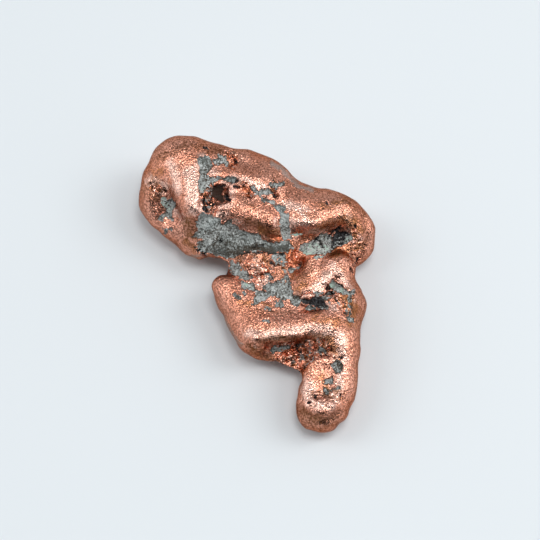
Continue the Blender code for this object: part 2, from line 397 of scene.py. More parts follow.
kinds = {    # mm: how deep each sinks, how rough it lies, its lumps, its torn edge and the lip around it
    "grey": {"sink": 0.28, "relief": 0.26, "grain": 1.3, "ragged": 0.40, "lip": 0.07},
    "pale": {"sink": 0.12, "relief": 0.20, "grain": 1.2, "ragged": 0.30, "lip": 0.03},
    "black": {"sink": 0.55, "relief": 0.15, "grain": 0.9, "ragged": 0.25, "lip": 0.03, "grow": 0.06},
    "red": {"sink": 0.05, "relief": 0.16, "grain": 0.8, "ragged": 0.40, "lip": 0.0},
    "crust": {"sink": 0.12, "relief": 0.30, "grain": 0.9, "ragged": 0.45, "lip": 0.0},
    "film": {"ragged": 0.4},
    "stain": {"ragged": 0.7},
    "tarnish": {"ragged": 0.6},
    "amber": {"ragged": 0.9},
    "worn": {"ragged": 0.6},
    "crinkle": {"ragged": 0.5},
}

marks = {
    "grey": [
        # head
        patch((163, 208), (168, 200), (172, 198), (176, 203), (175, 209), (171, 213), (174, 222),
              (169, 219), (166, 217), (163, 221), (158, 219), (161, 216), (165, 212)),
        patch((163, 229), (167, 228), (171, 226), (173, 230), (169, 231), (165, 234)),
        # column between head and ridge
        patch((198, 158), (204, 154), (210, 156), (212, 164), (210, 169), (208, 174), (212, 177),
              (220, 177), (219, 181), (214, 183), (211, 187), (205, 189), (203, 194), (200, 193),
              (199, 186), (198, 176), (200, 168), tone=0.2),
        stroke(9, (204, 159), (209, 166), tone=-0.5),
        patch((212, 159), (221, 155), (226, 155), (226, 160), (230, 162), (227, 165), (214, 164)),
        patch((217, 178), (227, 176), (233, 176), (236, 179), (231, 182), (224, 181), tone=-0.4),
        # streak along the ridge and its branches
        patch((249, 186), (254, 187), (259, 190), (268, 188), (274, 191), (274, 196), (267, 194),
              (260, 196), (252, 190), tone=0.3),
        stroke(4, (263, 199), (274, 203)),
        patch((270, 183), (273, 180), (278, 182), (284, 181), (284, 184), (279, 187), (275, 189),
              (271, 187)),
        patch((273, 204), (280, 204), (285, 206), (285, 210), (282, 213), (277, 211)),
        # column and the big ledge
        patch((281, 216), (288, 213), (289, 222), (291, 232), (289, 239), (283, 241), (281, 234),
              (279, 222), tone=0.8),
        patch((199, 215), (204, 213), (213, 216), (219, 219), (222, 224), (227, 221), (232, 218),
              (233, 224), (243, 231), (256, 234), (262, 238), (269, 242), (277, 243), (284, 240),
              (292, 240), (292, 247), (287, 252), (270, 253), (254, 250), (243, 252), (231, 256),
              (226, 259), (220, 256), (206, 254), (197, 250), (194, 247), (199, 242), (203, 240),
              (192, 237), (197, 231), (196, 225), tone=0.1),
        stroke(11, (203, 219), (208, 226), tone=0.45), stroke(5, (201, 216), (214, 218), tone=0.8),
        stroke(9, (226, 229), (238, 235), tone=0.3),
        # The next two patches darken the ledge's lower face as painted shade.
        patch((238, 246), (250, 244), (262, 242), (276, 247), (290, 243), (287, 251), (270, 253),
              (254, 249), (243, 252), tone=-1.3),
        patch((210, 244), (220, 240), (240, 243), (244, 253), (230, 258), (214, 254), tone=-0.9),
        stroke(4, (251, 240), (262, 242), tone=0.4), stroke(7, (284, 217), (286, 232), tone=0.7),
        # hollow under the right lobe
        patch((299, 250), (301, 245), (308, 243), (312, 240), (318, 238), (322, 233), (328, 234),
              (333, 240), (347, 234), (352, 234), (351, 239), (345, 244), (336, 246), (330, 252),
              (320, 258), (312, 255), (305, 253), tone=0.1),
        # neck, knuckle and waist
        patch((272, 256), (279, 253), (286, 256), (287, 261), (283, 264), (277, 266), (273, 262)),
        patch((229, 259), (235, 262), (241, 266), (248, 272), (252, 277), (248, 280), (241, 278),
              (234, 274), (229, 270), tone=0.5),
        stroke(5, (268, 275), (270, 278)), stroke(5, (243, 283), (252, 286)),
        stroke(4, (244, 287), (255, 290), (264, 292)),
        patch((255, 292), (262, 290), (269, 292), (270, 297), (264, 301), (256, 303), (252, 304),
              (254, 299), tone=0.3),
        patch((263, 287), (270, 282), (277, 281), (284, 278), (287, 273), (290, 279), (291, 288),
              (293, 294), (299, 297), (301, 303), (297, 307), (292, 304), (287, 300), (280, 299),
              (275, 296), (268, 294), tone=0.3),
        patch((274, 301), (279, 299), (284, 302), (283, 306), (276, 307)),
        stroke(4, (290, 270), (298, 267)), stroke(3, (307, 308), (314, 308)),
        stroke(3.5, (320, 307), (326, 307)),
        # nose and side
        patch((330, 284), (333, 281), (337, 284), (345, 289), (349, 292), (347, 295), (334, 291), tone=0.6),
        patch((321, 297), (325, 293), (331, 291), (336, 294), (333, 298), (327, 300)),
        stroke(5, (350, 293), (354, 292)), stroke(3.5, (350, 298), (351, 302)),
        stroke(3.5, (349, 305), (352, 309)), stroke(3, (351, 311), (350, 315)),
        stroke(3.5, (349, 318), (353, 320)), stroke(2.5, (346, 312), (347, 313)),
        # palm
        stroke(4, (236, 296), (240, 297)), stroke(3, (244, 293), (245, 295)),
        stroke(3, (267, 308), (269, 309)), stroke(2.5, (263, 320), (269, 321)),
        # recess
        patch((270, 351), (274, 346), (281, 346), (287, 344), (291, 346), (288, 350), (280, 352),
              (273, 353)),
        stroke(4.5, (319, 349), (324, 351)),
        # finger
        patch((331, 366), (335, 361), (339, 359), (342, 364), (341, 371), (336, 374), (332, 371)),
        patch((323, 380), (328, 378), (333, 376), (335, 379), (332, 384), (328, 386), (324, 384)),
        stroke(4.5, (326, 389), (327, 392)), stroke(3.5, (332, 390), (338, 388)),
    ],
    "pale": [
        patch((301, 251), (304, 246), (310, 244), (316, 242), (320, 246), (326, 243), (331, 247),
              (328, 252), (322, 257), (318, 260), (313, 256), (306, 255)),
        stroke(6, (163, 202), (169, 208)), stroke(3.5, (323, 237), (327, 239)),
        stroke(2.5, (313, 243), (316, 240)), stroke(4.5, (346, 240), (350, 238)),
        stroke(3, (244, 284), (252, 286)), stroke(2.5, (292, 235), (301, 234)),
        stroke(2.5, (164, 199), (165, 200)), stroke(4.5, (332, 285), (341, 290)),
        stroke(2, (204, 188), (206, 189)), stroke(2.5, (348, 299), (350, 300)),
    ],
    # black pits, and painted shadow along the seam under the ledge and below the nose's lip
    "black": [
        patch((213, 192), (216, 188), (219, 186), (223, 187), (223, 190), (221, 194), (224, 197),
              (228, 198), (227, 200), (221, 202), (216, 199), tone=1.0),
        stroke(2.5, (214, 187), (224, 186), tone=-0.5), stroke(4, (226, 197), (228, 200), tone=-0.5),
        stroke(3.5, (209, 203), (212, 204)), stroke(1.8, (204, 197), (205, 203)),
        stroke(1.8, (207, 197), (208, 201)), stroke(4.5, (206, 208), (208, 211)),
        stroke(2, (231, 152), (234, 155)), stroke(2.5, (235, 159), (236, 162)),
        stroke(2.4, (232, 182), (237, 180)), stroke(1.4, (234, 185), (240, 188)),
        stroke(2.4, (275, 191), (275, 196), (279, 196)), stroke(1.8, (274, 184), (275, 187)),
        stroke(2.2, (204, 147), (207, 148)), stroke(1.8, (151, 183), (153, 183)),
        stroke(1.2, (164, 189), (166, 196)), stroke(1.2, (213, 243), (221, 242)),
        stroke(2.2, (198, 251), (206, 256)), stroke(1.4, (232, 256), (249, 252)),
        stroke(1.2, (252, 252), (262, 252)), stroke(1.6, (270, 253), (284, 253)),
        stroke(0.6, (252, 246), (262, 245)),
        # under the right lobe
        patch((331, 239), (334, 234), (338, 230), (341, 233), (348, 233), (345, 237), (343, 242),
              (341, 246), (336, 243), (333, 248), (330, 245)),
        stroke(1.3, (313, 244), (317, 239), (321, 238)), stroke(2, (328, 238), (334, 232), (339, 229)),
        stroke(3, (321, 241), (323, 245)), stroke(1.6, (326, 202), (327, 203)),
        stroke(1.2, (322, 206), (323, 208)), stroke(1.3, (355, 226), (356, 228)),
        stroke(2.2, (359, 258), (355, 265)), stroke(2.2, (351, 269), (353, 274)),
        stroke(2.2, (299, 264), (301, 262)), stroke(2.0, (271, 262), (275, 267)),
        # under the nose
        patch((299, 300), (303, 298), (306, 299), (310, 300), (314, 297), (318, 293), (322, 297),
              (324, 301), (326, 306), (321, 308), (315, 307), (308, 305), (302, 304)),
        stroke(0.8, (328, 286), (327, 290), (330, 289)), stroke(1.8, (331, 293), (334, 296), (337, 300)),
        stroke(1.2, (333, 281), (346, 289)),
        # recess
        stroke(1.5, (320, 352), (329, 355)), stroke(2.4, (296, 344), (300, 352)),
        stroke(0.9, (334, 357), (342, 358)),
        # finger
        stroke(0.9, (307, 403), (311, 402)), stroke(1.2, (341, 394), (341, 395)),
        stroke(0.7, (315, 396), (319, 394)),
    ],
    "red": [
        patch((241, 183), (246, 182), (249, 187), (254, 192), (252, 198), (247, 197), (242, 190)),
        stroke(7, (229, 155), (235, 158), (233, 167)),
        patch((287, 252), (296, 250), (302, 256), (301, 264), (294, 269), (288, 264)),
        stroke(4, (300, 262), (308, 258), (314, 255)), stroke(4, (303, 372), (311, 362)),
        stroke(7, (284, 354), (298, 350), (316, 346)), stroke(5, (271, 236), (279, 238)),
    ],
    "crust": [
        patch((200, 188), (206, 190), (213, 186), (214, 192), (214, 200), (212, 209), (207, 212),
              (204, 206), (200, 198), tone=-0.7),
        patch((240, 183), (246, 181), (251, 187), (255, 193), (252, 198), (246, 196), tone=-0.2),
        stroke(6, (278, 258), (284, 270), (284, 279), tone=-0.2),
        patch((226, 151), (233, 150), (237, 155), (237, 163), (233, 169), (228, 165), (225, 158)),
        patch((286, 250), (296, 249), (303, 254), (302, 266), (294, 270), (287, 265), tone=0.6),
        patch((240, 258), (250, 253), (262, 256), (271, 262), (276, 272), (270, 281), (256, 283),
              (246, 276), (240, 268), tone=1.1),
        patch((297, 343), (304, 340), (316, 339), (328, 342), (332, 350), (324, 355), (314, 357),
              (306, 366), (300, 372), (296, 362), (298, 352)),
        patch((272, 355), (284, 351), (296, 354), (298, 366), (288, 366), (276, 361), tone=0.4),
        stroke(9, (327, 298), (338, 300), (344, 310), tone=0.3),
        stroke(6, (354, 232), (360, 241), (354, 254), tone=0.6),
        stroke(6, (273, 184), (276, 196), tone=0.3), stroke(6, (152, 188), (164, 190), tone=0.5),
    ],
    # a pale film along the top outline, and painted reflection of the floor along the lower rims
    "film": [
        stroke(4.5, (272, 163), (283, 170), (288, 176), (299, 186), (313, 190)),
        stroke(3, (191, 257), (206, 255)), stroke(3, (223, 316), (231, 333), (241, 345)),
    ],
    # olive stains, and painted shade on the dark bands below the head's crest, under the sausage, under the
    # palm's highlight and at the finger's lower turn
    "stain": [
        stroke(7, (187, 222), (189, 238)), stroke(3, (155, 198), (164, 200)),
        stroke(10, (250, 222), (268, 233), (276, 238)), stroke(6, (335, 252), (346, 255)),
        stroke(3, (355, 221), (361, 230)), stroke(5, (323, 271), (327, 274)),
        stroke(8, (346, 300), (352, 312)), stroke(6, (262, 338), (325, 337)),
        stroke(8, (255, 350), (268, 356)), stroke(8, (322, 388), (340, 392)),
        stroke(5, (303, 411), (312, 418), (326, 419)), stroke(3, (142, 183), (143, 192)),
    ],
    # dark tarnish, partly real patina and partly painted shade on surfaces facing the camera, under ridges
    # and lips, and over highlights
    "tarnish": [
        patch((185, 215), (190, 215), (197, 220), (198, 230), (197, 240), (191, 241), (186, 235),
              (184, 224)),
        patch((227, 152), (235, 151), (238, 160), (234, 170), (228, 165)),
        stroke(6, (240, 182), (247, 187), (253, 196)), stroke(10, (290, 247), (304, 241)),
        stroke(9, (238, 256), (264, 255), (277, 258), (283, 270), (283, 282)),
        stroke(7, (305, 371), (311, 365)), stroke(9, (337, 321), (347, 326)),
        stroke(7, (346, 199), (353, 208), (355, 218)), stroke(4, (309, 270), (306, 283)),
        stroke(2, (264, 325), (278, 325)), stroke(5, (150, 190), (151, 200)),
        stroke(3, (304, 213), (316, 216)), stroke(4, (306, 261), (311, 270)),
        stroke(2, (338, 262), (343, 270)), stroke(3, (244, 202), (256, 208)),
        stroke(3, (359, 219), (363, 232)), stroke(6, (187, 241), (193, 249)),
        stroke(4, (152, 196), (162, 198)), stroke(8, (206, 149), (222, 152)),
        stroke(7, (160, 158), (182, 147), (200, 146)),
        stroke(8, (247, 222), (260, 225), (270, 232), (277, 240)),
        stroke(2, (363, 212), (367, 226), (367, 240), (361, 254)),
        stroke(8, (261, 342), (296, 339), (327, 340)), stroke(5, (248, 345), (260, 356), (282, 364)),
        stroke(12, (300, 410), (308, 419), (322, 421)),
        stroke(5, (303, 412), (313, 419), (328, 420), (338, 414)),
        stroke(3, (305, 425), (322, 430), (337, 423)),
        stroke(4, (284, 357), (298, 361), (306, 350), (320, 346)), stroke(3, (288, 254), (300, 264)),
        stroke(10, (298, 262), (303, 276)), stroke(12, (300, 345), (308, 358), (302, 370)),
        stroke(7, (346, 298), (355, 312)), stroke(3, (258, 312), (292, 313)),
        stroke(6, (210, 192), (207, 206)),
    ],
    "amber": [
        stroke(8, (262, 228), (274, 236), (279, 230)),
        stroke(10, (322, 226), (340, 219), (352, 222), (358, 230)), stroke(9, (346, 217), (354, 230)),
        stroke(11, (334, 252), (348, 250), (358, 246)), stroke(12, (345, 296), (355, 312), (352, 322)),
        stroke(14, (286, 252), (300, 262)), stroke(6, (296, 232), (312, 236)),
        stroke(8, (244, 262), (262, 258), (272, 270)), stroke(8, (292, 272), (302, 284), (296, 292)),
        stroke(8, (316, 318), (334, 322)), stroke(10, (330, 340), (336, 356)),
        stroke(4, (321, 376), (330, 396)), stroke(8, (160, 170), (152, 182)),
        stroke(8, (322, 206), (342, 202)), stroke(7, (240, 302), (266, 306)),
        stroke(7, (186, 240), (196, 250)),
    ],
    # brighter copper: painted highlight along the bands where the lamps' highlights fall, partly wear on
    # high spots
    "worn": [
        stroke(16, (191, 174), (192, 190), (195, 208)), stroke(5, (236, 222), (244, 226)),
        stroke(12, (151, 181), (163, 188)), stroke(8, (199, 205), (203, 214)),
        stroke(6, (176, 212), (184, 219)), stroke(5, (210, 171), (216, 172)),
        stroke(7, (224, 182), (232, 186), (231, 196)), stroke(7, (212, 213), (226, 216)),
        stroke(6, (217, 207), (228, 206)), stroke(12, (290, 223), (304, 227)),
        stroke(13, (256, 270), (264, 280)), stroke(12, (326, 334), (334, 338)),
        stroke(8, (326, 304), (336, 308)), stroke(8, (172, 164), (178, 190)),
        stroke(7, (233, 178), (248, 181), (263, 189)), stroke(4, (276, 219), (279, 232)),
        stroke(9, (286, 204), (302, 210)), stroke(3, (297, 221), (316, 222)),
        stroke(9, (298, 231), (322, 231)), stroke(10, (300, 296), (312, 292), (322, 284), (329, 273)),
        stroke(8, (332, 265), (349, 287)), stroke(9, (249, 334), (268, 335), (302, 329), (328, 328)),
        stroke(14, (338, 336), (341, 358)), stroke(13, (308, 386), (309, 401)),
        stroke(8, (326, 392), (336, 400)), stroke(8, (348, 219), (351, 236)),
        stroke(6, (341, 370), (337, 402)), stroke(9, (314, 406), (330, 405)),
        stroke(15, (252, 258), (262, 266), (263, 277)), stroke(6, (352, 230), (360, 238), (358, 248)),
        stroke(6, (202, 156), (196, 172)),
    ],
    "crinkle": [
        stroke(13, (153, 182), (165, 187)),
        patch((198, 188), (213, 186), (215, 200), (212, 212), (204, 210), (198, 200)),
        patch((226, 151), (237, 153), (236, 166), (226, 165)),
        patch((240, 180), (250, 182), (256, 196), (244, 198)),
        patch((236, 258), (252, 252), (268, 256), (278, 272), (272, 284), (254, 286), (240, 280),
              (231, 268), tone=0.6),
        patch((286, 250), (303, 250), (304, 268), (290, 270)),
        stroke(14, (346, 232), (360, 244), (350, 254)),
        patch((268, 346), (288, 342), (326, 340), (332, 352), (310, 360), (300, 370), (276, 360), tone=1.4),
        stroke(20, (310, 396), (324, 400), (338, 396), tone=0.3),
        stroke(9, (251, 346), (262, 353), (276, 358), tone=0.4),
        stroke(12, (330, 292), (352, 300), (346, 312)), stroke(8, (335, 215), (345, 212)),
    ],
}

# Unseen sides: stone in their hollows, tarnish and painted shade in broad patches that gather in hollows,
# amber in broad patches, and brighter metal, partly wear and partly painted highlight, on their swells.

unseenSides = {
    "fade": 1.5,
    "fadeRounds": 40,
    "grey": {"size": 5.0, "noise": 0.5, "hollow": 6.0, "level": -0.40},
    "tarnish": {"size": 6.0, "noise": 1.0, "hollow": 4.0, "level": -0.25},
    "amber": {"size": 4.0, "noise": 1.0, "hollow": 0.0, "level": -0.30},
    "worn": {"size": 6.0, "noise": 0.7, "hollow": -4.0, "level": -0.95},
}
edges = {    # all in mm, across the edge of a mark
    "reach": 1.5, "ragged": 0.9, "chips": 0.16, "chipSize": 0.6,
    "sink": (-0.06, 0.14), "relief": (0.0, 0.2), "lip": (-0.45, -0.12), "lipEnd": (-0.12, 0.02),
    "finer": (-0.5, 1.2),
}
crinkles = {"size": 1.1, "height": 0.14, "fineSize": 0.5, "fineHeight": 0.07, "edge": (-0.2, 0.5)}
dents = {"size": 3.2, "height": 0.05, "fineSize": 1.1, "fineHeight": 0.018}


def refineMarks():
    busy = np.zeros(len(skin.points), bool)
    low, high = edges["finer"]
    for kind, setup in kinds.items():
        if kind == "crinkle":
            busy |= painted(marks[kind])[0] > 0
        elif "sink" in setup:
            depth = painted(marks[kind])[0]
            busy |= (depth > low) & (depth < high)
    skin.refine(busy)
    eye.look()


def hollowness():
    # positive in hollows and creases, negative on swells, in mm
    broad = skin.spread(skin.points, skinDetail["hollowRounds"])
    return np.sum((broad - skin.points) * eye.normals, axis=1)


def paintKinds():
    # each kind's depth inside its marks, with the edge torn by noise and chips
    layers = {}
    for seed, (kind, setup) in enumerate(kinds.items()):
        depth, tone = painted(marks[kind])
        if kind in ("grey", "black", "crust", "crinkle"):
            layers[kind + "Tone"] = skin.spread(tone, 2)
        near = np.abs(depth) < edges["reach"]
        torn = np.zeros(len(depth))
        torn[near] = setup["ragged"] * noiseAt(skin.points[near], edges["ragged"], 3, seed)
        if "sink" in setup:
            torn[near] += edges["chips"] * facetsAt(skin.points[near], edges["chipSize"], seed + 20)
        layers[kind] = depth + torn + setup.get("grow", 0.0)
    hollow = layers["hollow"] = hollowness()
    fade = unseenSides["fade"] * skin.spread(eye.seen.astype(float), unseenSides["fadeRounds"])
    for seed, kind in enumerate(("grey", "tarnish", "amber", "worn"), 11):
        side = unseenSides[kind]
        found = side["noise"] * noiseAt(skin.points, side["size"], 3, seed)
        found += side["hollow"] * hollow + side["level"]
        layers[kind] = np.where(eye.seen, layers[kind], np.maximum(layers[kind], found - fade))
    return layers


def carveKinds(layers):
    for kind, setup in kinds.items():
        if "sink" not in setup:
            continue
        depth, grain = layers[kind], setup["grain"]
        inside = np.flatnonzero(depth > -0.1)
        places = skin.points[inside]
        lumps = np.zeros(len(depth))
        lumps[inside] = 0.5 * facetsAt(places, grain, 2.0) + 0.35 * facetsAt(places, grain / 2, 6.0)
        height = -setup["sink"] * rise(depth, *edges["sink"])
        height += setup["relief"] * rise(depth, *edges["relief"]) * lumps
        height += setup["lip"] * rise(depth, *edges["lip"]) * (1 - rise(depth, *edges["lipEnd"]))
        skin.move(eye.normals, height)


def carveCrinkles(layers):
    amount = rise(layers["crinkle"], *crinkles["edge"])
    inside = np.flatnonzero(amount > 0.01)
    places = skin.points[inside]
    height = np.zeros(len(amount))
    height[inside] = crinkles["height"] * facetsAt(places, crinkles["size"], 5.0)
    height[inside] += crinkles["fineHeight"] * facetsAt(places, crinkles["fineSize"], 8.0)
    height *= amount * (1 + layers["crinkleTone"])
    skin.move(eye.normals, height)
    layers["crinkleHeight"] = height


def carveDents():
    height = dents["height"] * noiseAt(skin.points, dents["size"], 2, 1.0)
    height += dents["fineHeight"] * noiseAt(skin.points, dents["fineSize"], 2, 2.0)
    skin.move(eye.normals, height)


refineMarks()
print("skin refined,", len(skin.points), "points")
layers = paintKinds()
carveDents()
carveCrinkles(layers)
carveKinds(layers)
skin.store()
print("marks carved")


def keepLayers(layers):
    # each kind's depth inside its marks, in mm, for the material to read
    for kind, depth in layers.items():
        attribute = skin.mesh.attributes.new(kind, "FLOAT", "POINT")
        attribute.data.foreach_set("value", np.clip(depth, -2.0, 2.0).astype(np.float32))


keepLayers(layers)
skin.mesh.shade_smooth()
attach(skin.piece, "root")
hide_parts("copper_nugget")


# Materials are written as sums on signals: a Signal is a socket's value, and each sum adds its Math node.

class Signal:
    def __init__(self, graph, socket):
        self.graph, self.socket = graph, socket

    def math(self, operation, first, second=0.0):
        return self.graph.add("ShaderNodeMath", {0: first, 1: second}, operation=operation)

    def __add__(self, other):
        return self.math("ADD", self, other)

    def __sub__(self, other):
        return self.math("SUBTRACT", self, other)

    def __mul__(self, other):
        return self.math("MULTIPLY", self, other)

    def __rsub__(self, other):
        return self.math("SUBTRACT", other, self)

    def __neg__(self):
        return self.math("MULTIPLY", self, -1.0)

    def __abs__(self):
        return self.math("ABSOLUTE", self)

    __radd__ = __add__
    __rmul__ = __mul__

    def between(self, low, high):
        # 0 below low, 1 above high, and smooth from one to the other
        sockets = {"Value": self, "From Min": low, "From Max": high}
        return self.graph.add("ShaderNodeMapRange", sockets, "Result", interpolation_type="SMOOTHSTEP")

    def beside(self, output):
        # another output of the same node
        return Signal(self.graph, self.socket.node.outputs[output])


class Tree:
    def __init__(self, tree):
        self.tree = tree

    def add(self, kind, sockets, output=0, **settings):
        # a new node, given as one of its outputs
        node = self.tree.nodes.new(kind)
        for name, value in settings.items():
            setattr(node, name, value)
        for name, value in sockets.items():
            self.feed(node.inputs[name], value)
        return Signal(self, node.outputs[output])

    def feed(self, target, value):
        if isinstance(value, Signal):
            self.tree.links.new(value.socket, target)
        elif isinstance(value, tuple) and len(value) == 3 and len(target.default_value) == 4:
            target.default_value = (*value, 1.0)
        else:
            target.default_value = value

    def mixed(self, factor, first, second):
        return self.add("ShaderNodeMix", {"Factor": factor, 6: first, 7: second}, 2, data_type="RGBA")


class Graph(Tree):
    def __init__(self, name):
        self.material = bpy.data.materials.new(name)
        self.material.use_nodes = True
        super().__init__(self.material.node_tree)

    def finished(self, sockets):
        for name, value in sockets.items():
            self.feed(self.tree.nodes["Principled BSDF"].inputs[name], value)
        return self.material

    def coordinates(self):
        return self.add("ShaderNodeTexCoord", {}, "Object")

    def layer(self, name):
        return self.add("ShaderNodeAttribute", {}, "Fac", attribute_name=name)

    def noise(self, place, size, detail=2.0, roughness=0.5, output="Fac"):
        # size is that of a swell, in mm
        sockets = {"Vector": place, "Scale": 1.0 / (size * mm), "Detail": detail, "Roughness": roughness}
        return self.add("ShaderNodeTexNoise", sockets, output)

    def cells(self, place, size, output="Distance"):
        return self.add("ShaderNodeTexVoronoi", {"Vector": place, "Scale": 1.0 / (size * mm)}, output)

    def flakes(self, place, size):
        # one random value in each cell, with the place pushed about by noise so that cells get torn edges
        push = self.noise(place, 0.4 * size, 3.0, output="Color")
        shift = self.add("ShaderNodeVectorMath", {0: push, "Scale": 0.7 * size * mm}, operation="SCALE")
        moved = self.add("ShaderNodeVectorMath", {0: place, 1: shift}, operation="ADD")
        return self.add("ShaderNodeSeparateColor", {"Color": self.cells(moved, size, "Color")})

    def ramp(self, value, *stops):
        tint = self.add("ShaderNodeValToRGB", {"Fac": value}, "Color")
        elements = tint.socket.node.color_ramp.elements
        while len(elements) < len(stops):
            elements.new(0.5)
        for element, (position, colour) in zip(elements, stops):
            element.position, element.color = position, (*colour, 1.0)
        return tint


nuggetFinish = {    # sizes and depths are in mm
    "copper": (0.90, 0.42, 0.30),
    "copperRed": (0.83, 0.33, 0.21),
    "copperBrown": (0.22, 0.085, 0.048),
    "speck": (0.10, 0.05, 0.03),
    "olive": (0.15, 0.07, 0.02),
    "redOxide": (0.50, 0.13, 0.06),
    "stoneDark": (0.060, 0.047, 0.034),
    "stoneMid": (0.29, 0.305, 0.29),
    "stoneLight": (0.60, 0.62, 0.60),
    "stoneBlue": (0.30, 0.40, 0.40),
    "paleGreen": (0.47, 0.62, 0.53),
    # the next colour is wear and painted highlight on the copper
    "worn": (0.97, 0.64, 0.53),
    # the next colour is tarnish and painted shade on the copper
    "tarnish": (0.20, 0.07, 0.022),
    "amber": (0.52, 0.20, 0.075),
    # the next colour is a pale film, also painted reflection along the lower rims
    "film": (0.50, 0.42, 0.38),
    "pit": (0.010, 0.010, 0.011),
    "pitGrey": (0.065, 0.068, 0.072),
    "pitBrown": (0.060, 0.036, 0.027),
    "copperRoughness": 0.23,
    "stoneRoughness": 0.75,
    "pitRoughness": 0.55,
    "specular": 0.2,
    "grazing": (0.42, 0.27, 0.21),    # what the metal reflects where it turns away
    "sheen": 0.08,                    # a thin clear skin over the metal
    "sheenRoughness": 0.25,
    "fineSize": 0.42,
    "mediumSize": 1.6,
    "broadSize": 5.5,
    "speckleSize": 0.34,
    "sparkSize": 0.45,
    "sparkDepth": 0.07,
    "grainSize": 0.32,
    "grainDepth": 0.18,
    "pockSize": 1.3,
    "pockDepth": 0.06,
    "crumbSize": 0.75,
    "crustSize": 0.34,
    "veinSize": 1.5,
    "flakeSize": 0.95,
    "flakeDepth": 0.12,
    "stoneContrast": 2.6,
    "patchSize": 1.5,
    "patchContrast": 1.5,
}
masks = {    # how far noise tears each kind's edge, and the depths in mm from which it shows and is full
    "grey": (0.5, -0.03, 0.03),
    "pale": (0.5, -0.03, 0.03),
    "black": (0.5, -0.05, 0.08),
    "red": (0.8, -0.15, 0.25),
    "stain": (0.75, -0.5, 0.6),
    "crust": (0.5, -0.05, 0.10),
    "tarnish": (0.75, -0.6, 0.6),
    "worn": (0.75, -0.7, 0.7),
    "amber": (1.0, -0.5, 0.6),
    "film": (0.75, -0.25, 0.25),
}


def stoneTint(graph, place):
    # how light the stone is from one patch to the next
    patches = graph.noise(place, nuggetFinish["patchSize"], 2.0, 0.6)
    return (patches - 0.5) * nuggetFinish["patchContrast"] + graph.layer("greyTone") * 0.45 + 0.5


def stoneColour(graph, tint, broad):
    look = nuggetFinish
    dark, middle, light = (look[name] for name in ("stoneDark", "stoneMid", "stoneLight"))
    stone = graph.ramp(tint, (0.05, dark), (0.5, middle), (1.0, light))
    return graph.mixed(broad.between(0.42, 0.62) * 0.3, stone, graph.mixed(0.5, stone, look["stoneBlue"]))


def copperColour(graph, mask, noises):
    look = nuggetFinish
    medium, broad, speckle, pocks, hollow = noises
    worn, crinkle = mask["worn"], graph.layer("crinkleHeight")
    copper = graph.mixed(broad.between(0.35, 0.7), look["copper"], look["copperRed"])
    for amount, name in (
        # brighter copper, mostly painted highlight
        (worn * 0.8, "worn"),
        (mask["amber"] * medium.between(0.30, 0.52) * 0.8, "amber"),
        # dark tarnish, partly painted shade
        (mask["tarnish"] * (0.95 - speckle * 0.5), "tarnish"),
        # painted highlight on the highs of the crinkles, painted shade in their lows
        (crinkle.between(0.02, 0.16) * 0.6, "worn"),
        ((-crinkle).between(0.02, 0.14) * 0.8, "tarnish"),
        ((1.0 - speckle) * (0.5 + medium * 0.5 - worn * 0.35), "copperBrown"),
        ((1.0 - pocks.between(0.07, 0.13)) * medium.between(0.5, 0.6), "speck"),
        # painted shade: browner copper in hollows and creases
        (hollow * (0.5 - speckle * 0.4), "copperBrown"),
        # olive stains, partly painted shade
        (mask["stain"] * medium.between(0.3, 0.65) * (0.75 - speckle * 0.35), "olive"),
        (mask["red"] * 0.7, "redOxide"),
        # pale film, partly painted reflection
        (mask["film"] * 0.7, "film"),
    ):
        copper = graph.mixed(amount, copper, look[name])
    return copper


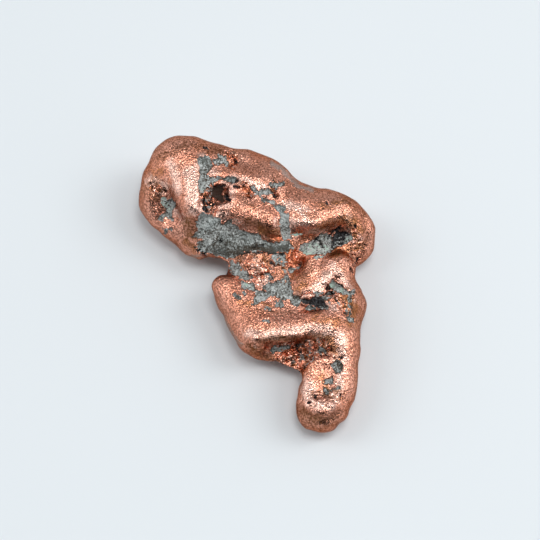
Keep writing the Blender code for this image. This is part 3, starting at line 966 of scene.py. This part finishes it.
def nuggetMaterial():
    look = nuggetFinish
    graph = Graph("native_copper")
    place = graph.coordinates()
    fine = graph.noise(place, look["fineSize"], 2.0, 0.6)
    medium = graph.noise(place, look["mediumSize"], 3.0, 0.6)
    broad = graph.noise(place, look["broadSize"], 3.0)
    grain = graph.noise(place, look["grainSize"], 1.5, 0.6)
    crust = graph.noise(place, look["crustSize"], 2.0, 0.6)
    veins = abs(graph.noise(place, look["veinSize"], 3.0, 0.6) - 0.5)    # small along winding lines
    speckle = graph.noise(place, look["speckleSize"], 2.0, 0.6).between(0.42, 0.56)
    pocks = graph.cells(place, look["pockSize"])
    sparks = graph.cells(place, look["sparkSize"])
    flakes = graph.flakes(place, look["flakeSize"])
    hollow = graph.layer("hollow").between(0.0, 0.22)
    edge = fine - 0.5
    mask = {}
    for kind, (torn, low, high) in masks.items():
        mask[kind] = (graph.layer(kind) + edge * torn).between(low, high)
    grey, pale, black, red, crusted = (mask[kind] for kind in ("grey", "pale", "black", "red", "crust"))

    tint = stoneTint(graph, place) + (crust - 0.5) * look["stoneContrast"] + (flakes - 0.5) * 0.5
    tint = tint - (1.0 - veins.between(0.0, 0.05)) * 0.35
    # painted shadow: a dark edge, in places, just inside each stone patch where it sits down in the copper
    stoneEdgeShadow = 1.0 - (graph.layer("grey") + edge * 0.5).between(0.03, 0.35)
    stone = stoneColour(graph, tint, broad)
    dark, light, green = (look[name] for name in ("stoneDark", "stoneLight", "paleGreen"))
    stone = graph.mixed(stoneEdgeShadow * medium.between(0.40, 0.58) * 0.6, stone, dark)
    paleStone = graph.ramp(tint, (0.0, dark), (0.3, light), (0.7, green))
    pit = graph.mixed(crust.between(0.40, 0.62), look["pit"], look["pitGrey"])
    pit = graph.mixed(graph.layer("blackTone").between(0.0, 1.0) * 0.9, pit, look["pitBrown"])

    copper = copperColour(graph, mask, (medium, broad, speckle, pocks, hollow))
    crumbs = graph.layer("crustTone") * 0.35 + graph.flakes(place, look["crumbSize"])
    crumb = graph.mixed(crumbs.between(0.38, 0.42), look["tarnish"], look["copperRed"])
    crumb = graph.mixed(crumbs.between(0.14, 0.20), look["stoneMid"], crumb)
    crumb = graph.mixed(crumbs.between(0.62, 0.68), crumb, copper)
    crumb = graph.mixed(red * 0.5, crumb, look["redOxide"])
    colour = graph.mixed(crusted * 0.9, copper, crumb)
    for amount, finish in ((grey, stone), (pale, paleStone), (black, pit)):
        colour = graph.mixed(amount, colour, finish)

    stony = 1.0 - (1.0 - grey) * (1.0 - pale)
    metal = (1.0 - stony) * (1.0 - black) * (1.0 - crusted * (1.0 - crumbs.between(0.12, 0.18)))
    rough = look["copperRoughness"] + edge * 0.2 + hollow * 0.12 + mask["stain"] * 0.12
    rough = rough * (1.0 - stony) + stony * look["stoneRoughness"]
    rough = rough * (1.0 - black) + black * look["pitRoughness"]

    smoother = 1.0 - graph.layer("crinkle").between(-0.1, 0.4) * 0.15
    height = grain * smoother * look["grainDepth"] + sparks.between(0.05, 0.32) * look["sparkDepth"]
    height = height + pocks.between(0.0, 0.35) * look["pockDepth"]
    height = height + stony * (flakes * 0.4 + crust * 1.6 + veins.between(0.0, 0.10)) * look["flakeDepth"]
    bump = graph.add("ShaderNodeBump", {"Strength": 1.0, "Distance": mm, "Height": height}, "Normal")
    return graph.finished({
        "Base Color": colour, "Metallic": metal, "Roughness": rough, "Normal": bump,
        "Specular IOR Level": look["specular"], "Specular Tint": look["grazing"],
        "Coat Weight": look["sheen"], "Coat Roughness": look["sheenRoughness"],
    })


skin.mesh.materials.clear()
skin.mesh.materials.append(nuggetMaterial())
skin.mesh.calc_loop_triangles()
print("skin finished,", len(skin.mesh.loop_triangles), "triangles")

# Grains: small chips strewn over a layer of the skin and turned at random, one piece for each layer.

grains = {    # sizes in mm, turns in radians
    "matrix_grains": {
        "layer": "grey", "above": 0.06, "perSquareMm": 7.0, "smallest": 0.12, "largest": 0.55,
        "flatness": 0.42, "tilt": 0.6, "seed": 3,
    },
    "copper_crumbs": {
        "layer": "crust", "above": 0.0, "perSquareMm": 1.8, "smallest": 0.18, "largest": 0.90,
        "flatness": 0.35, "tilt": 1.0, "seed": 8,
    },
}
grainInputs = {
    "Geometry": "Geometry", "Layer": "String", "Above": "Float", "Density": "Float", "Smallest": "Float",
    "Largest": "Float", "Flatness": "Float", "Tilt": "Float", "Seed": "Int", "Finish": "Material",
}


def grainTree():
    group = bpy.data.node_groups.new("grains", "GeometryNodeTree")
    for name, kind in grainInputs.items():
        group.interface.new_socket(name, in_out="INPUT", socket_type="NodeSocket" + kind)
    group.interface.new_socket("Geometry", in_out="OUTPUT", socket_type="NodeSocketGeometry")
    tree = Tree(group)
    given = tree.add("NodeGroupInput", {}, "Geometry")
    small, large = given.beside("Smallest"), given.beside("Largest")
    flatness, tilt = given.beside("Flatness"), given.beside("Tilt")

    def randomVector(least, most, seed):
        ends = [tree.add("ShaderNodeCombineXYZ", dict(zip("XYZ", end))) for end in (least, most)]
        sockets = {0: ends[0], 1: ends[1], "Seed": seed}
        return tree.add("FunctionNodeRandomValue", sockets, data_type="FLOAT_VECTOR")

    layer = tree.add(
        "GeometryNodeInputNamedAttribute", {"Name": given.beside("Layer")}, "Attribute", data_type="FLOAT",
    )
    inside = tree.add(
        "FunctionNodeCompare", {"A": layer, "B": given.beside("Above")}, "Result",
        data_type="FLOAT", operation="GREATER_THAN",
    )
    density, seed = given.beside("Density"), given.beside("Seed")
    sockets = {"Mesh": given, "Selection": inside, "Density": density, "Seed": seed}
    strewn = tree.add("GeometryNodeDistributePointsOnFaces", sockets, "Points")
    chip = tree.add("GeometryNodeMeshIcoSphere", {"Radius": 1.0, "Subdivisions": 1}, "Mesh")
    size = randomVector((small, small, small * flatness), (large, large, large * flatness), 1)
    turn = randomVector((-tilt, -tilt, 0.0), (tilt, tilt, 2 * math.pi), 2)
    spin = tree.add("FunctionNodeEulerToRotation", {"Euler": turn}, "Rotation")
    turned = tree.add(
        "FunctionNodeRotateRotation", {"Rotation": strewn.beside("Rotation"), "Rotate By": spin}, "Rotation",
        rotation_space="LOCAL",
    )
    placed = tree.add(
        "GeometryNodeInstanceOnPoints",
        {"Points": strewn, "Instance": chip, "Rotation": turned, "Scale": size}, "Instances",
    )
    shade = tree.add("FunctionNodeRandomValue", {2: 0.0, 3: 1.0, "Seed": 4}, 1, data_type="FLOAT")
    shaded = tree.add(
        "GeometryNodeStoreNamedAttribute", {"Geometry": placed, "Name": "shade", "Value": shade}, "Geometry",
        data_type="FLOAT", domain="INSTANCE",
    )
    solid = tree.add("GeometryNodeRealizeInstances", {"Geometry": shaded}, "Geometry")
    sockets = {"Geometry": solid, "Material": given.beside("Finish")}
    finished = tree.add("GeometryNodeSetMaterial", sockets, "Geometry")
    tree.feed(group.nodes.new("NodeGroupOutput").inputs["Geometry"], finished)
    return group


grainFinish = {
    "fineSize": 0.3,       # mm
    "stoneShades": 1.0,    # how far the grains differ from the stone under them
    "stoneRoughness": 0.7,
    "crumbDark": (0.10, 0.035, 0.016),
    "crumbMid": (0.70, 0.27, 0.14),
    "crumbBright": (0.95, 0.55, 0.42),
    "crumbRoughness": 0.28,
}


def stoneGrainMaterial():
    graph = Graph("matrix_grain")
    place = graph.coordinates()
    fine = graph.noise(place, grainFinish["fineSize"])
    broad = graph.noise(place, nuggetFinish["broadSize"], 3.0)
    shade = (graph.layer("shade") - 0.5) * grainFinish["stoneShades"] + (fine - 0.5) * 0.4
    colour = stoneColour(graph, stoneTint(graph, place) + shade, broad)
    return graph.finished({"Base Color": colour, "Roughness": grainFinish["stoneRoughness"]})


def crumbMaterial():
    look = grainFinish
    graph = Graph("copper_crumb")
    fine = graph.noise(graph.coordinates(), look["fineSize"])
    shade = graph.layer("shade") + (fine - 0.5) * 0.6 + graph.layer("crustTone") * 0.3
    dark, middle, bright = (look[name] for name in ("crumbDark", "crumbMid", "crumbBright"))
    colour = graph.ramp(shade, (0.25, dark), (0.55, middle), (0.9, bright))
    rough = look["crumbRoughness"] + (fine - 0.5) * 0.2
    return graph.finished({"Base Color": colour, "Metallic": 1.0, "Roughness": rough})


def makeGrains(name, group, finish):
    look = grains[name]
    piece = bpy.data.objects.new(name, skin.mesh.copy())
    bpy.context.scene.collection.objects.link(piece)
    strew = piece.modifiers.new("grains", "NODES")
    strew.node_group = group
    values = {
        "Layer": look["layer"], "Above": look["above"], "Density": look["perSquareMm"] / mm ** 2,
        "Smallest": look["smallest"] / 2 * mm, "Largest": look["largest"] / 2 * mm,
        "Flatness": look["flatness"], "Tilt": look["tilt"], "Seed": look["seed"], "Finish": finish,
    }
    for item in group.interface.items_tree:
        if item.name in values:
            strew[item.identifier] = values[item.name]
    bpy.context.view_layer.update()
    mesh = bpy.data.meshes.new_from_object(piece.evaluated_get(bpy.context.evaluated_depsgraph_get()))
    mesh.name = name
    piece.modifiers.clear()
    piece.data = mesh
    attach(piece, "root")
    print(name, "strewn,", len(mesh.polygons), "faces")


strewing = grainTree()
makeGrains("matrix_grains", strewing, stoneGrainMaterial())
makeGrains("copper_crumbs", strewing, crumbMaterial())

# Floor and light.

room = {
    "floorColour": (0.72, 0.755, 0.775),
    "floorRoughness": 0.9,
    "floorSize": 3000.0,
    "lights": [  # mm and watts
        {"at": (60.0, -40.0, 600.0), "size": (190.0, 170.0), "power": 1.25},
        {"at": (400.0, 60.0, 480.0), "size": (260.0, 360.0), "power": 1.15},
        {"at": (-390.0, 40.0, 460.0), "size": (220.0, 360.0), "power": 0.62},
    ],
    "skyFront": (0.03, 0.03, 0.031),
    "skyBack": (0.50, 0.53, 0.555),
    "skySide": (0.86, 0.91, 0.95),
}


def makeFloor():
    half = room["floorSize"] / 2 * mm
    corners = [(-half, -half, 0), (half, -half, 0), (half, half, 0), (-half, half, 0)]
    mesh = bpy.data.meshes.new("floor")
    mesh.from_pydata(corners, [], [(0, 1, 2, 3)])
    floor = bpy.data.objects.new("floor", mesh)
    bpy.context.scene.collection.objects.link(floor)
    finish = {"Base Color": room["floorColour"], "Roughness": room["floorRoughness"]}
    mesh.materials.append(Graph("floor").finished(finish))


def makeLights():
    for softbox in room["lights"]:
        data = bpy.data.lights.new("softbox", "AREA")
        data.shape = "RECTANGLE"
        data.size, data.size_y = (side * mm for side in softbox["size"])
        data.energy = softbox["power"]
        light = bpy.data.objects.new("softbox", data)
        light.location = Vector(softbox["at"]) * mm
        light.rotation_mode = "QUATERNION"
        light.rotation_quaternion = (-Vector(softbox["at"])).to_track_quat("-Z", "Y")
        bpy.context.scene.collection.objects.link(light)


def makeSky():
    # dark toward the viewer, lighter at the back and lightest at the sides
    world = bpy.data.worlds.new("studio")
    bpy.context.scene.world = world
    world.use_nodes = True
    tree = Tree(world.node_tree)
    direction = tree.add("ShaderNodeTexCoord", {}, "Generated")
    across = tree.add("ShaderNodeSeparateXYZ", {0: direction}, "X")
    colour = tree.mixed(across.beside("Y").between(-0.5, 0.2), room["skyFront"], room["skyBack"])
    colour = tree.mixed(abs(across).between(0.4, 0.85), colour, room["skySide"])
    tree.feed(world.node_tree.nodes["Background"].inputs["Color"], colour)


makeFloor()
makeLights()
makeSky()
bpy.context.scene.view_settings.view_transform = "Standard"
print("room made")
